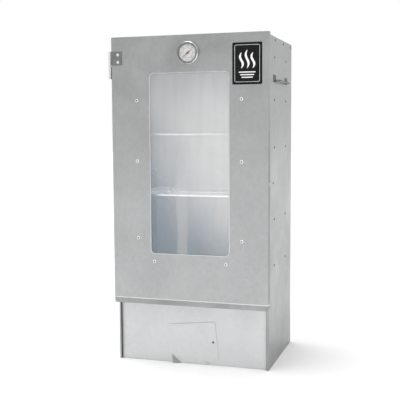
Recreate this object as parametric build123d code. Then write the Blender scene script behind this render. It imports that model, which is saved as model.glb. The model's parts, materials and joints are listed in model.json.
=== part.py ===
from build123d import *
import os
from math import cos, radians, sin, sqrt

# Electric cabinet smoker. Millimetres, +Z up, -Y is the front, X to the right.
# The origin is the centre of the carcass's footprint, on the face that it stands on.

# ---------------------------------------------------------------- driving dimensions
# sheet, rivets and clearances
SHEET = 1.2                     # carcass sheet thickness
THIN = 1.0                      # door and tray sheet thickness
RIVET_SHANK = 2.0
RIVET_HEAD = 4.0
RUNNING_GAP = 0.05              # radial play of a shaft in its hole

# carcass
CARCASS_W = 480.0
CARCASS_D = 340.0
CARCASS_H = 995.0
SIDE_FLANGE = 12.0              # front flange of a side panel, round the chamber's mouth
REAR_FLANGE = 15.0
FLOOR_Z = 197.0                 # chamber floor, and top of the base compartment
SMOKE_HOLE = 95.0               # half the side of the square opening under the drip pan
BASE_PANEL_X = (-235.8, 237.0)  # a gap stays open at the left end
BASE_RECESS = 8.0               # base panel, behind the front flanges
BASE_FLANGE_LEFT = 5.0          # the side panels' front flanges beside the base panel
BASE_FLANGE_RIGHT = 9.0
ACCESS_X = (-58.0, 50.0)        # opening behind the flap
ACCESS_Z = (16.0, 110.0)
SEAM_Y = (-85.0, 35.0, 150.0)   # rivets along the top edge of each side
SEAM_Z = 985.0

# door
DOOR_W = 488.0
DOOR_T = 25.0                   # door front to carcass front
DOOR_TOP = 1000.0
DOOR_FOLD_Z = 203.5             # where the bottom lip starts to flare
DOOR_LIP_Z = 188.0              # lower edge of the lip
LIP_FLARE = 6.0
LIP_MITRE = 4.0
DOOR_RETURN = 22.0
DOOR_FLANGE = 16.0
SEAL_T = 2.6
SEAL_W = 9.0

# window
CENTRE_X = 2.0                  # the window and the thermometer sit this far right of centre
WINDOW_W = 246.0
WINDOW_Z0 = 345.0
WINDOW_Z1 = 889.0
WINDOW_R = 13.0
GLASS_T = 4.0
GLASS_LAP = 24.5                # how far the pane reaches past the window on each side
WINDOW_RIVETS_Z = (391.0, 626.5, 809.0)
WINDOW_RIVET_X = 163.5
WINDOW_RIVET_HEAD = 4.8
LOWER_RIVETS = (CENTRE_X - 113.0, CENTRE_X + 113.0)
LOWER_RIVET_Z = 320.0

# badge
BADGE_X, BADGE_Z = 180.6, 910.8
BADGE_W, BADGE_H = 88.8, 120.5
BADGE_T = 0.8

# hinge
HINGE_X = -250.0
HINGE_Y = -196.0
HINGE_Z0 = 875.0
HINGE_Z1 = 957.0
KNUCKLE_SPLIT_Z = 914.0
BARREL_R = 5.0
PIN_R = 2.5
HINGE_LEAF_T = 2.0
DOOR_LEAF_X = -209.5            # free edge of the leaf on the door
DOOR_LEAF_SCREWS_Z = (925.0, 947.0)
DOOR_LEAF_SCREW_X = -222.0
FRAME_LEAF_SCREWS = ((-150.0, 886.0), (-150.0, 903.0))

# magnetic catch
CATCH_Z = 560.0
CATCH_SETBACK = 56.0            # its rivet, behind the carcass front
STRIKE_SETBACK = 12.8           # its strike's rivet, behind the door front

# thermometer
THERMO_Z = 946.0
STEM_R = 4.0
DIAL_R = 29.0
CASE_R = 31.5
BEZEL_R = 33.0
POINTER_REST = 231.0            # clockwise from the top of the dial, at room temperature

# racks, rails and handles
RAIL_Y = (-95.0, 75.0)          # front and rear rack rails
RAIL_W = 24.0
RAIL_T = 1.5
RAIL_Z = (290.0, 950.0)
LUG_W = 20.0
LUG_REACH = 20.0
RACK_PITCH = 62.0
RACK_FIRST_Z = 396.0
RACK_LEVELS = 9
LOWER_RACK_LEVEL, UPPER_RACK_LEVEL = 2, 5
RACK_ROD_R = 2.5
RACK_WIRES = 19
WIRE_R = 1.8
WIRE_RISE = 1.2                 # the wires lie this much above the frame's middle
CROSS_BAR_R = 2.2
CROSS_BAR_DROP = 1.4
BACK_LOOP_X = (-84.0, 84.0)     # middles of a rack's two raised loops
BACK_LOOP = (100.0, 42.0, 8.0)  # their width, height and corner radius
RACK_HALF_W = 221.0
RACK_FRONT_Y = -150.0
RACK_BACK_Y = 150.0
RACK_GAP = 0.3
RIVET_Z = (308.0, 449.0, 666.0, 808.0, 933.5)
HANDLE_Z = 871.5
HANDLE_FEET = (-110.0, 90.0)
HANDLE_FOOT = (27.0, 21.0)      # length and height of a handle's foot plates
HANDLE_T = 2.0
HANDLE_BAR_R = 3.0
HANDLE_BAR_Z = 865.0
HANDLE_STANDOFF = 14.0          # side panel to the middle of the bar
HANDLE_BEND = 9.0

# flap over the base opening; its outline is measured from its pivot
FLAP_PIVOT_X = 65.0
FLAP_PIVOT_Z = 71.7
FLAP_TILT = 6.2                 # the flap hangs this many degrees down to the left
FLAP_RIGHT = 13.0
FLAP_LEFT = -138.0
FLAP_TOP = 63.0
FLAP_LOW = -59.5
FLAP_CHAMFER = 27.5
FLAP_T = 1.2
FLAP_GAP = 0.4                  # between the flap and the base panel
FLAP_STOP_X = (38.0, 50.0)      # the lug on the base panel that the flap rests on
FLAP_STOP_Z = (4.0, 8.2)
FLAP_STOP_REACH = 2.8
FLAP_FOLD = 50.0                # its corner is folded out this many degrees

# top vent
VENT_Y = 60.0
VENT_SCREW_R = 2.5
VENT_RING = 24.0
VENT_HOLE_R = 9.0
DAMPER_R = 40.0

# heater and trays
HEATER_X, HEATER_Y = -4.0, -30.0
STAND_Z = 26.0                  # top of the heater's stand
STAND_LEG = (70.0, 60.0, 12.0)  # leg places either side of the middle, and half a leg's width
HOUSING_H = 20.0
HOUSING_R = 88.0
HEATER_SEAT = 4.0               # housing floor thickness under the plate
HEATER_PLATE_H = 23.0
CONDUIT_Z = STAND_Z + 11.0
CHIP_TRAY = (88.0, 178.0, 26.0)
CHIP_TRAY_Y = -52.0
DRIP_PAN = (300.0, 250.0, 16.0)
DRIP_PAN_LIFT = 26.0

# controls on the back
CONTROL_Z = 100.0
INLET_X = -60.0
INLET_HOLE_X = (INLET_X - 14.0, INLET_X + 14.0)
INLET_HOLE_Z = (CONTROL_Z - 12.0, CONTROL_Z + 12.0)
INLET_SCREW_X = (INLET_X - 20.0, INLET_X + 20.0)
SWITCH_X = 2.0
SWITCH_HOLE_X = (SWITCH_X - 10.5, SWITCH_X + 10.5)
SWITCH_HOLE_Z = (CONTROL_Z - 14.0, CONTROL_Z + 14.0)
ROCKER_TILT = 7.0
THERMOSTAT_X = 66.0
THERMOSTAT_NECK_R = 5.0
TERMINAL_X = (-96.0, 104.0)
TERMINAL_Y0 = 112.0
TERMINAL_HALF_H = 34.0

# ---------------------------------------------------------------- derived places
HALF_W = CARCASS_W / 2
INNER_X = HALF_W - SHEET
MOUTH_X = HALF_W - SIDE_FLANGE
FRONT_Y = -CARCASS_D / 2
BACK_Y = CARCASS_D / 2
INNER_FRONT_Y = FRONT_Y + SHEET
BACK_FACE_Y = BACK_Y - SHEET    # outer face of the back panel
BACK_PANEL_Y = BACK_Y - 2 * SHEET
BASE_Y = FRONT_Y + BASE_RECESS  # outer face of the base panel
DOOR_HALF = DOOR_W / 2
DOOR_Y = FRONT_Y - DOOR_T
DOOR_INNER_Y = DOOR_Y + THIN
DOOR_REAR_Y = DOOR_Y + DOOR_RETURN
DOOR_BOTTOM_Z = DOOR_LIP_Z + 1.5
CEILING_Z = CARCASS_H - SHEET
CATCH_Y = FRONT_Y + CATCH_SETBACK
STRIKE_Y = DOOR_Y + STRIKE_SETBACK
GLASS_Z = (WINDOW_Z0 - 16.0, WINDOW_Z1 + 16.0)
GLASS_HALF = WINDOW_W / 2 + GLASS_LAP
FLAP_Y = (BASE_Y - FLAP_GAP - FLAP_T, BASE_Y - FLAP_GAP)
CHIP_TRAY_Z = STAND_Z + HEATER_SEAT + HEATER_PLATE_H + RACK_GAP


# ---------------------------------------------------------------- small helpers
def block(x0, x1, y0, y1, z0, z1):
    """A box given by its limits along each axis."""
    middle = Pos((x0 + x1) / 2, (y0 + y1) / 2, (z0 + z1) / 2)
    return middle * Box(abs(x1 - x0), abs(y1 - y0), abs(z1 - z0))


def rod(start, end, radius):
    """A round bar between two points."""
    a, b = Vector(*start), Vector(*end)
    frame = Plane(origin=(a + b) * 0.5, z_dir=(b - a).normalized())
    return frame * Cylinder(radius, (b - a).length)


def disc(x, y0, y1, z, radius):
    """A round plate or bar along Y."""
    return rod((x, y0, z), (x, y1, z), radius)


def facing(axis):
    """The turn that points +Y along the named axis."""
    return {"y": Rot(0, 0, 0), "-y": Rot(0, 0, 180), "x": Rot(0, 0, -90),
            "-x": Rot(0, 0, 90), "z": Rot(90, 0, 0)}[axis]


def turned(points, x, y, z, axis="y"):
    """A turned piece: (radius, distance) points spun about an axis through x, y, z."""
    body = revolve(make_face(Polyline(*points, close=True)), Axis.Y)
    return Pos(x, y, z) * facing(axis) * body


def rounded_plate(x, z, width, height, y0, y1, radius):
    """A plate in the XZ plane with rounded corners."""
    sketch = RectangleRounded(width, height, radius)
    return Pos(x, y0, z) * Rot(-90, 0, 0) * extrude(sketch, y1 - y0)


def outline_x(points, x0, x1):
    """A straight-edged (y, z) outline drawn along X."""
    face = Plane.YZ * make_face(Polyline(*points, close=True))
    return Pos(x0, 0, 0) * extrude(face, x1 - x0)


def outline_y(points, y0, y1):
    """A straight-edged (x, z) outline drawn along Y."""
    face = Plane.XZ * make_face(Polyline(*points, close=True))
    return Pos(0, y0, 0) * extrude(face, -(y1 - y0))


def outline_z(points, z0, z1):
    """A straight-edged (x, y) outline drawn upwards."""
    return Pos(0, 0, z0) * extrude(make_face(Polyline(*points, close=True)), z1 - z0)


def mirrored(part):
    """The same piece for the other side."""
    return mirror(part, about=Plane.YZ)


def merged(parts):
    """One solid made of several that touch or overlap."""
    body = parts[0]
    for other in parts[1:]:
        body = body + other
    return body


def drilled_x(part, places, radius=RIVET_SHANK, side=1):
    """Holes along X through one side's wall, at (y, z) places."""
    for y, z in places:
        part = part - rod((side * 200, y, z), (side * 260, y, z), radius)
    return part


def drilled_y(part, places, y, radius=RIVET_SHANK):
    """Holes along Y through a thin wall near y, at (x, z) places."""
    for x, z in places:
        part = part - disc(x, y - 6, y + 6, z, radius)
    return part


NODES = {}


def add(name, *solids):
    """Keep a node: one solid, or a group of identical separate solids."""
    NODES[name] = list(solids)


# ---------------------------------------------------------------- rivets and screws
def blind_rivet(x, y, z, axis, grip, head=RIVET_HEAD):
    """A pop rivet: domed head with its mandrel hole, shank through the sheets, set tail."""
    tail = grip + 3.0
    bulge, hole = RIVET_SHANK + 0.9, 0.27 * head
    dome = [(hole, 0.4), (hole, -1.1), (0.6 * head, -1.1), (0.86 * head, -0.75), (head, 0.0)]
    body = [(RIVET_SHANK, 0.0), (RIVET_SHANK, grip), (bulge, grip), (bulge, tail - 0.8),
            (RIVET_SHANK, tail), (0, tail), (0, 0.4)]
    return turned(dome + body, x, y, z, axis)


def pan_screw(x, y, z, axis, length, head=4.2, shank=2.0):
    """A pan-head screw with a cross recess."""
    body = turned([(0, -2.0), (0.7 * head, -2.0), (head, -0.9), (head, 0.0), (shank, 0.0),
                   (shank, length - 1.2), (0.4 * shank, length), (0, length)], 0, 0, 0)
    for turn in (0, 90):
        body = body - Rot(0, turn, 0) * block(-0.6 * head, 0.6 * head, -2.4, -1.2, -0.4, 0.4)
    return Pos(x, y, z) * facing(axis) * body


# ---------------------------------------------------------------- carcass
def rail_rivets():
    return [(y, z) for y in RAIL_Y for z in RIVET_Z + (HANDLE_Z,)]


def side_panel(base_flange):
    """The right side panel: a sheet with a rear flange and a front one, narrower beside the base."""
    panel = merged([
        block(INNER_X, HALF_W, FRONT_Y, BACK_Y, 0, CARCASS_H),
        block(MOUTH_X, HALF_W, FRONT_Y, INNER_FRONT_Y, FLOOR_Z, CARCASS_H),
        block(HALF_W - base_flange, HALF_W, FRONT_Y, INNER_FRONT_Y, 0, FLOOR_Z),
        block(HALF_W - REAR_FLANGE, HALF_W, BACK_FACE_Y, BACK_Y, 0, CARCASS_H)])
    return drilled_x(panel, rail_rivets() + [(y, SEAM_Z) for y in SEAM_Y])


def side_flanges(z0, z1, y0=INNER_FRONT_Y):
    """The two upright flanges of a horizontal panel, inside the side panels."""
    return [block(s * (INNER_X - SHEET), s * INNER_X, y0, BACK_PANEL_Y, z0, z1)
            for s in (-1, 1)]


def make_carcass():
    left = mirrored(side_panel(BASE_FLANGE_LEFT))
    add("left_side_panel", drilled_x(left, FRAME_LEAF_SCREWS, side=-1))
    add("right_side_panel", drilled_x(side_panel(BASE_FLANGE_RIGHT), [(CATCH_Y, CATCH_Z)]))

    back = block(-INNER_X, INNER_X, BACK_PANEL_Y, BACK_FACE_Y, 0, CARCASS_H)
    back = back - block(*INLET_HOLE_X, BACK_PANEL_Y - 5, BACK_Y, *INLET_HOLE_Z)
    back = back - block(*SWITCH_HOLE_X, BACK_PANEL_Y - 5, BACK_Y, *SWITCH_HOLE_Z)
    back = drilled_y(back, [(THERMOSTAT_X, CONTROL_Z)], BACK_FACE_Y, THERMOSTAT_NECK_R)
    add("back_panel", drilled_y(back, [(x, CONTROL_Z) for x in INLET_SCREW_X], BACK_FACE_Y, 1.5))

    top = merged([
        block(-INNER_X, INNER_X, INNER_FRONT_Y, BACK_PANEL_Y, CEILING_Z, CARCASS_H),
        block(-MOUTH_X, MOUTH_X, FRONT_Y, INNER_FRONT_Y, CARCASS_H - SIDE_FLANGE, CARCASS_H)]
        + side_flanges(CEILING_Z - 18, CEILING_Z))
    top = top - rod((0, VENT_Y, CEILING_Z - 5), (0, VENT_Y, CARCASS_H + 5), VENT_SCREW_R)
    for hole in vent_holes():
        top = top - hole
    for side in (-1, 1):
        top = drilled_x(top, [(y, SEAM_Z) for y in SEAM_Y], side=side)
    add("top_panel", top)

    base_rear = BASE_Y + SHEET
    add("bottom_plate", merged([block(-INNER_X, INNER_X, base_rear, BACK_PANEL_Y, 0, SHEET)]
                               + side_flanges(0, 15, base_rear)))

    floor = merged([
        block(-INNER_X, INNER_X, INNER_FRONT_Y, BACK_PANEL_Y, FLOOR_Z, FLOOR_Z + SHEET),
        block(-MOUTH_X, MOUTH_X, FRONT_Y, INNER_FRONT_Y, FLOOR_Z, FLOOR_Z + 20)]
        + side_flanges(FLOOR_Z - 12, FLOOR_Z))
    hole = block(-SMOKE_HOLE, SMOKE_HOLE, -SMOKE_HOLE, SMOKE_HOLE, FLOOR_Z - 5, FLOOR_Z + 5)
    add("chamber_floor", floor - hole)

    base = block(*BASE_PANEL_X, BASE_Y, base_rear, 0, FLOOR_Z)
    base = base - block(*ACCESS_X, BASE_Y - 5, BASE_Y + 5, *ACCESS_Z)
    base = drilled_y(base, [(FLAP_PIVOT_X, FLAP_PIVOT_Z)], BASE_Y)
    flap_stop = block(*FLAP_STOP_X, BASE_Y - FLAP_STOP_REACH, BASE_Y, *FLAP_STOP_Z)
    add("base_front_panel", base + flap_stop)


# ---------------------------------------------------------------- top vent
def vent_holes():
    """Four round holes on a ring about the vent's screw."""
    angles = [radians(45 + 90 * k) for k in range(4)]
    spots = [(VENT_RING * cos(a), VENT_Y + VENT_RING * sin(a)) for a in angles]
    return [rod((x, y, CEILING_Z - 5), (x, y, CARCASS_H + 5), VENT_HOLE_R) for x, y in spots]


def make_vent():
    low = CARCASS_H + 0.4
    plate = rod((0, VENT_Y, low), (0, VENT_Y, low + THIN), DAMPER_R)
    for hole in vent_holes():
        plate = plate - hole
    edge = VENT_Y - DAMPER_R
    plate = plate + block(-7, 7, edge + 1.2, edge + 1.2 + THIN, low, low + 13)
    bore = rod((0, VENT_Y, low - 5), (0, VENT_Y, low + 5), VENT_SCREW_R + RUNNING_GAP)
    add("vent_damper", plate - bore)
    add("vent_screw", turned([(0, 3.2), (3.6, 3.2), (5.0, 1.6), (5.0, 0), (VENT_SCREW_R, 0),
                              (VENT_SCREW_R, -10), (0, -10)], 0, VENT_Y, low + THIN + 0.3, "z"))
    nut = extrude(RegularPolygon(4.6, 6), 3.0) - Cylinder(VENT_SCREW_R, 20)
    add("vent_nut", Pos(0, VENT_Y, CEILING_Z - 3.0) * nut)


# ---------------------------------------------------------------- rack rails and racks
def rack_rail(y):
    """A right-hand rack rail: an upright strip with a lug at each rack level."""
    x0 = INNER_X - RAIL_T
    rail = block(x0, INNER_X, y - RAIL_W / 2, y + RAIL_W / 2, *RAIL_Z)
    for k in range(RACK_LEVELS):
        top = RACK_FIRST_Z + k * RACK_PITCH - RACK_ROD_R - RACK_GAP
        rail = rail + block(x0 - LUG_REACH, x0, y - LUG_W / 2, y + LUG_W / 2, top - RAIL_T, top)
    return drilled_x(rail, [(y, z) for z in RIVET_Z + (HANDLE_Z,)])


def back_loop(centre, z):
    """An upright wire loop that keeps food off the back wall."""
    width, height, bend = BACK_LOOP
    half, y = width / 2, RACK_BACK_Y
    path = FilletPolyline((centre - half, y, z), (centre - half, y, z + height),
                          (centre + half, y, z + height), (centre + half, y, z), radius=bend)
    return sweep(Plane(origin=path @ 0, z_dir=path % 0) * Circle(WIRE_R), path=path)


def rack(level):
    """A welded wire rack with two raised loops along its back."""
    z = RACK_FIRST_Z + level * RACK_PITCH
    x, y0, y1 = RACK_HALF_W, RACK_FRONT_Y, RACK_BACK_Y
    parts = [rod((-x, y, z), (x, y, z), RACK_ROD_R) for y in (y0, y1)]
    parts += [rod((s * x, y0, z), (s * x, y1, z), RACK_ROD_R) for s in (-1, 1)]
    parts += [Pos(s * x, y, z) * Sphere(RACK_ROD_R) for s in (-1, 1) for y in (y0, y1)]
    bar_z, wire_z = z - CROSS_BAR_DROP, z + WIRE_RISE
    parts.append(rod((-x, 0, bar_z), (x, 0, bar_z), CROSS_BAR_R))
    for k in range(1, RACK_WIRES + 1):
        wire_x = -x + 2 * x * k / (RACK_WIRES + 1)
        parts.append(rod((wire_x, y0, wire_z), (wire_x, y1, wire_z), WIRE_R))
    parts += [back_loop(centre, z) for centre in BACK_LOOP_X]
    return merged(parts)


def make_racks():
    for place, y in zip(("front", "rear"), RAIL_Y):
        add("rack_rail_right_" + place, rack_rail(y))
        add("rack_rail_left_" + place, mirrored(rack_rail(y)))
    add("rack_upper", rack(UPPER_RACK_LEVEL))
    add("rack_lower", rack(LOWER_RACK_LEVEL))


# ---------------------------------------------------------------- handles and side rivets
def carry_handle():
    """A bow handle on the right side: a round bar bent out from two foot plates."""
    y0, y1 = HANDLE_FEET
    length, height = HANDLE_FOOT
    x0, x1, z = HALF_W + HANDLE_T / 2, HALF_W + HANDLE_STANDOFF, HANDLE_BAR_Z
    bar_y0, bar_y1 = y0 + length - HANDLE_BAR_R - 2, y1 - length + HANDLE_BAR_R + 2
    path = FilletPolyline((x0, bar_y0, z), (x1, bar_y0, z), (x1, bar_y1, z), (x0, bar_y1, z),
                          radius=HANDLE_BEND)
    bar = sweep(Plane(origin=path @ 0, z_dir=path % 0) * Circle(HANDLE_BAR_R), path=path)
    low, high = HANDLE_Z - height / 2, HANDLE_Z + height / 2
    feet = [block(HALF_W, HALF_W + HANDLE_T, end, end + step, low, high)
            for end, step in ((y0, length), (y1, -length))]
    return drilled_x(merged([bar] + feet), [(y, HANDLE_Z) for y in RAIL_Y])


def make_side_fittings():
    add("carry_handle_right", carry_handle())
    add("carry_handle_left", mirrored(carry_handle()))
    grip = SHEET + RAIL_T
    rivets = [blind_rivet(HALF_W, y, z, "-x", grip) for y in RAIL_Y for z in RIVET_Z]
    rivets += [blind_rivet(HALF_W, y, SEAM_Z, "-x", 2 * SHEET) for y in SEAM_Y]
    rivets += [blind_rivet(HALF_W + HANDLE_T, y, HANDLE_Z, "-x", grip + HANDLE_T) for y in RAIL_Y]
    add("side_rivets_left", *[mirrored(r) for r in rivets])
    add("side_rivets_right", *rivets, blind_rivet(HALF_W, CATCH_Y, CATCH_Z, "-x", grip))


# ---------------------------------------------------------------- magnetic catch
def make_catch():
    """A magnet on a bracket inside the right side panel."""
    x0, y1 = 194.0, CATCH_Y - 34
    z0, z1 = CATCH_Z - 9, CATCH_Z + 9
    bracket = merged([block(INNER_X - RAIL_T, INNER_X, y1, CATCH_Y + 6.5, z0, z1),
                      block(x0, INNER_X, y1, y1 + RAIL_T, z0, z1)])
    add("catch_bracket", drilled_x(bracket, [(CATCH_Y, CATCH_Z)]))
    add("catch_magnet", block(x0 + 2, MOUTH_X - 2, DOOR_REAR_Y + 0.4, y1, CATCH_Z - 16, CATCH_Z + 16))


def strike_plate():
    """The plate on the door that the magnet holds."""
    x1, y1 = DOOR_HALF - THIN, DOOR_REAR_Y - THIN
    z0, z1 = CATCH_Z - 12, CATCH_Z + 12
    plate = merged([block(x1 - RAIL_T, x1, DOOR_Y + 6, y1, z0, z1),
                    block(x1 - 45, x1, y1 - RAIL_T, y1, z0, z1)])
    return drilled_x(plate, [(STRIKE_Y, CATCH_Z)])


# ---------------------------------------------------------------- door
def window_rivet_places():
    places = [(s * WINDOW_RIVET_X, z) for s in (-1, 1) for z in WINDOW_RIVETS_Z]
    return places + [(x, LOWER_RIVET_Z) for x in LOWER_RIVETS]


def door_skin():
    """Front sheet with side and top returns, back flanges and a flared bottom lip."""
    rear = (DOOR_REAR_Y - THIN, DOOR_REAR_Y)
    parts = [block(-DOOR_HALF, DOOR_HALF, DOOR_Y, DOOR_INNER_Y, DOOR_FOLD_Z, DOOR_TOP),
             block(-DOOR_HALF, DOOR_HALF, DOOR_Y, DOOR_REAR_Y, DOOR_TOP - THIN, DOOR_TOP),
             block(-DOOR_HALF, DOOR_HALF, *rear, DOOR_TOP - DOOR_FLANGE, DOOR_TOP)]
    for s in (-1, 1):
        edge = s * DOOR_HALF
        parts.append(block(edge - s * THIN, edge, DOOR_INNER_Y, DOOR_REAR_Y, DOOR_BOTTOM_Z, DOOR_TOP))
        parts.append(block(edge - s * DOOR_FLANGE, edge, *rear, DOOR_FOLD_Z, DOOR_TOP))
    parts.append(outline_x([(DOOR_Y, DOOR_FOLD_Z), (DOOR_Y - LIP_FLARE, DOOR_LIP_Z),
                            (DOOR_Y - LIP_FLARE + THIN, DOOR_LIP_Z), (DOOR_INNER_Y, DOOR_FOLD_Z)],
                           -DOOR_HALF, DOOR_HALF))
    skin = merged(parts)
    for s in (-1, 1):
        corner = [(s * DOOR_HALF, DOOR_FOLD_Z - 0.5), (s * (DOOR_HALF - LIP_MITRE), DOOR_LIP_Z - 1),
                  (s * (DOOR_HALF + 5), DOOR_LIP_Z - 1)]
        skin = skin - outline_y(corner, DOOR_Y - LIP_FLARE - 1, DOOR_INNER_Y)
    skin = skin - rounded_plate(CENTRE_X, (WINDOW_Z0 + WINDOW_Z1) / 2, WINDOW_W, WINDOW_Z1 - WINDOW_Z0,
                                DOOR_Y - 5, DOOR_INNER_Y + 5, WINDOW_R)
    screws = [(DOOR_LEAF_SCREW_X, z) for z in DOOR_LEAF_SCREWS_Z]
    skin = drilled_y(skin, window_rivet_places() + screws, DOOR_Y)
    skin = drilled_y(skin, [(CENTRE_X, THERMO_Z)], DOOR_Y, STEM_R)
    return drilled_x(skin, [(STRIKE_Y, CATCH_Z)])


def side_channel(s):
    """A Z-shaped strip that holds one edge of the glass against the skin from behind."""
    y0, lip = DOOR_INNER_Y, DOOR_INNER_Y + GLASS_T + 0.2
    web = CENTRE_X + s * (GLASS_HALF + 0.3)
    strip = merged([
        block(web, s * (WINDOW_RIVET_X + 12), y0, y0 + THIN, WINDOW_Z0, WINDOW_Z1),
        block(web, web + s * THIN, y0, lip + THIN, WINDOW_Z0, WINDOW_Z1),
        block(web + s * THIN, web - s * 16, lip, lip + THIN, WINDOW_Z0, WINDOW_Z1)])
    return drilled_y(strip, [(s * WINDOW_RIVET_X, z) for z in WINDOW_RIVETS_Z], y0)


def bottom_channel():
    """The strip under the glass."""
    y0, lip = DOOR_INNER_Y, DOOR_INNER_Y + GLASS_T + 0.2
    web = GLASS_Z[0]
    x0, x1 = CENTRE_X - WINDOW_W / 2 - 4, CENTRE_X + WINDOW_W / 2 + 4
    strip = merged([block(x0, x1, y0, y0 + THIN, LOWER_RIVET_Z - 11, web),
                    block(x0, x1, y0, lip + THIN, web - THIN, web),
                    block(x0, x1, lip, lip + THIN, web - THIN, web + 13)])
    return drilled_y(strip, [(x, LOWER_RIVET_Z) for x in LOWER_RIVETS], y0)


def make_door():
    add("door_skin", door_skin())
    half, y0, y1 = DOOR_HALF - THIN, DOOR_INNER_Y, DOOR_REAR_Y
    add("door_bottom_channel", merged([
        block(-half, half, y0, y1, DOOR_BOTTOM_Z, DOOR_BOTTOM_Z + THIN),
        block(-half, half, y0, y0 + THIN, DOOR_BOTTOM_Z, DOOR_FOLD_Z + 14),
        block(-half, half, y1 - THIN, y1, DOOR_BOTTOM_Z, DOOR_FOLD_Z)]))
    add("glass_channel_left", side_channel(-1))
    add("glass_channel_right", side_channel(1))
    add("glass_channel_bottom", bottom_channel())
    add("window_glass", rounded_plate(CENTRE_X, sum(GLASS_Z) / 2, 2 * GLASS_HALF, GLASS_Z[1] - GLASS_Z[0],
                                      y0, y0 + GLASS_T, 2.0))
    rivets = [blind_rivet(x, DOOR_Y, z, "y", 2 * THIN, WINDOW_RIVET_HEAD) for x, z in window_rivet_places()]
    add("door_rivets", *rivets, blind_rivet(DOOR_HALF, STRIKE_Y, CATCH_Z, "-x", THIN + RAIL_T))
    add("strike_plate", strike_plate())
    seal_x, seal_z0, seal_z1 = HALF_W - 2, FLOOR_Z + 3, CARCASS_H - 2
    outer = block(-seal_x, seal_x, y1, y1 + SEAL_T, seal_z0, seal_z1)
    inner = block(SEAL_W - seal_x, seal_x - SEAL_W, y1 - 1, y1 + SEAL_T + 1, seal_z0 + SEAL_W,
                  seal_z1 - SEAL_W)
    add("door_seal", outer - inner)
    add("badge_plate", rounded_plate(BADGE_X, BADGE_Z, BADGE_W, BADGE_H, DOOR_Y - BADGE_T, DOOR_Y, 4.0))


# ---------------------------------------------------------------- hinge
def make_hinge():
    """A lift-off hinge: the leaf on the door turns on a pin fixed in the frame's leaf."""
    x, y, t = HINGE_X, HINGE_Y, HINGE_LEAF_T
    leaf = rod((x, y, KNUCKLE_SPLIT_Z + 0.4), (x, y, HINGE_Z1), BARREL_R)
    leaf = leaf + block(x, DOOR_LEAF_X, DOOR_Y - t, DOOR_Y, HINGE_Z1 - 41, HINGE_Z1)
    leaf = leaf - rod((x, y, HINGE_Z0), (x, y, HINGE_Z1 - 3), PIN_R + RUNNING_GAP)
    add("hinge_door_leaf", drilled_y(leaf, [(DOOR_LEAF_SCREW_X, z) for z in DOOR_LEAF_SCREWS_Z], DOOR_Y))
    add("hinge_door_screws", *[pan_screw(DOOR_LEAF_SCREW_X, DOOR_Y - t, z, "y", 8.0)
                               for z in DOOR_LEAF_SCREWS_Z])

    wall, end = -HALF_W, -138.0
    crank = FRONT_Y + 3.5
    strap = outline_z([(x + 3, y), (x + 3 + t, y), (x + 3 + t, FRONT_Y), (wall, crank), (wall, end),
                       (wall - t, end), (wall - t, crank + 1.5), (x + 3, FRONT_Y + 1.5)],
                      HINGE_Z0, KNUCKLE_SPLIT_Z - 1.0)
    frame_leaf = rod((x, y, HINGE_Z0), (x, y, KNUCKLE_SPLIT_Z), BARREL_R) + strap
    frame_leaf = frame_leaf - rod((x, y, HINGE_Z0 - 5), (x, y, HINGE_Z1), PIN_R)
    add("hinge_frame_leaf", drilled_x(frame_leaf, FRAME_LEAF_SCREWS, side=-1))
    add("hinge_pin", rod((x, y, HINGE_Z0 + 1), (x, y, HINGE_Z1 - 4), PIN_R))
    add("hinge_frame_screws", *[pan_screw(wall - t, sy, sz, "x", 9.0) for sy, sz in FRAME_LEAF_SCREWS])


# ---------------------------------------------------------------- thermometer
def make_thermometer():
    x, y, z = CENTRE_X, DOOR_Y, THERMO_Z
    rim = CASE_R - 1
    add("thermometer_case", turned([(STEM_R, 0), (CASE_R, 0), (CASE_R, -1.5), (rim, -2.5), (rim, -9.0),
                                    (rim - 1, -9.0), (rim - 1, -2.0), (STEM_R, -2.0)], x, y, z))
    add("thermometer_bezel", turned([(rim, -5.5), (BEZEL_R, -5.5), (BEZEL_R, -10.5), (BEZEL_R - 1.6, -12.6),
                                     (DIAL_R - 1.5, -12.6), (DIAL_R - 1.5, -11.4), (rim - 0.5, -11.0),
                                     (rim - 0.5, -9.0), (rim, -9.0)], x, y, z))
    add("thermometer_dial", turned([(1.0, -4.4), (DIAL_R, -4.4), (DIAL_R, -5.2), (1.0, -5.2)], x, y, z))
    add("thermometer_lens", disc(x, y - 11.0, y - 9.4, z, rim - 1.2))
    add("thermometer_stem", merged([disc(x, y - 4.4, y - 2.0, z, STEM_R + 1.0),
                                    disc(x, y - 2.0, y + 14, z, STEM_R),
                                    disc(x, y + 14, y + 52, z, STEM_R - 1.0)]))
    nut = extrude(RegularPolygon(8.5, 6), 4.0) - Cylinder(STEM_R, 20)
    add("thermometer_nut", Pos(x, DOOR_INNER_Y + 4.0, z) * Rot(90, 0, 0) * nut)

    y0, y1 = y - 7.4, y - 6.8
    blade = outline_y([(-0.5, 20.5), (0.5, 20.5), (1.5, 0), (1.1, -11.5), (-1.1, -11.5), (-1.5, 0)],
                      y0, y1)
    hub = disc(0, y0 - 0.6, y1, 0, 3.2)
    spindle = disc(0, y1, y - 5.6, 0, 0.7)
    add("thermometer_pointer", Pos(x, 0, z) * Rot(0, POINTER_REST, 0) * (blade + hub + spindle))


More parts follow.
